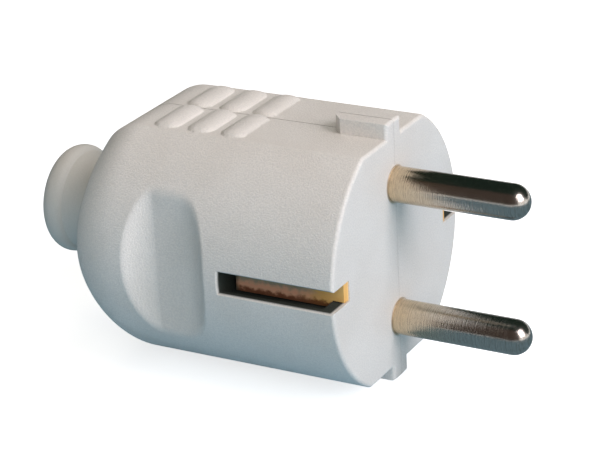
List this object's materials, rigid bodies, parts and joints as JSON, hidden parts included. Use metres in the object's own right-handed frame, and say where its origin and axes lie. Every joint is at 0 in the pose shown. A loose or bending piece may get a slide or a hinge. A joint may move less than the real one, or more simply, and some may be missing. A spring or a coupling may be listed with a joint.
{
  "type": "earthed mains plug",
  "caption": "Straight rewirable earthed mains plug with round pins, contact strips in side slots, thumb recesses, grip ribs and a flared cord grommet.",
  "frame": {"origin": "centre of the engagement face, midway between the pins", "axes": "+X out along the pins, +Z from the lower pin to the upper pin, and the housing parts at the plane Y = 0"},
  "size_m": [0.0712, 0.0368, 0.0368],
  "materials": {
    "housing": "off-white moulded plastic, fine satin grain",
    "pin": "nickel plated brass, fine turning lines round the pin",
    "strap": "rolled copper alloy strip, satin",
    "grommet": "soft off-white moulding, matt",
    "clamp": "moulded plastic, satin",
    "screw": "zinc plated steel"
  },
  "bodies": {
    "root": {"near_shell": "housing", "far_shell": "housing", "upper_pin": "pin", "lower_pin": "pin", "earth_strap": "strap", "cord_grommet": "grommet", "upper_terminal_screw": "screw", "lower_terminal_screw": "screw", "earth_terminal_screw": "screw", "earth_terminal_washer": "screw", "cord_clamp_bar": "clamp", "cord_clamp_screw_upper": "screw", "cord_clamp_screw_lower": "screw", "housing_screw": "screw", "housing_nut": "screw"}
  },
  "joints": []
}
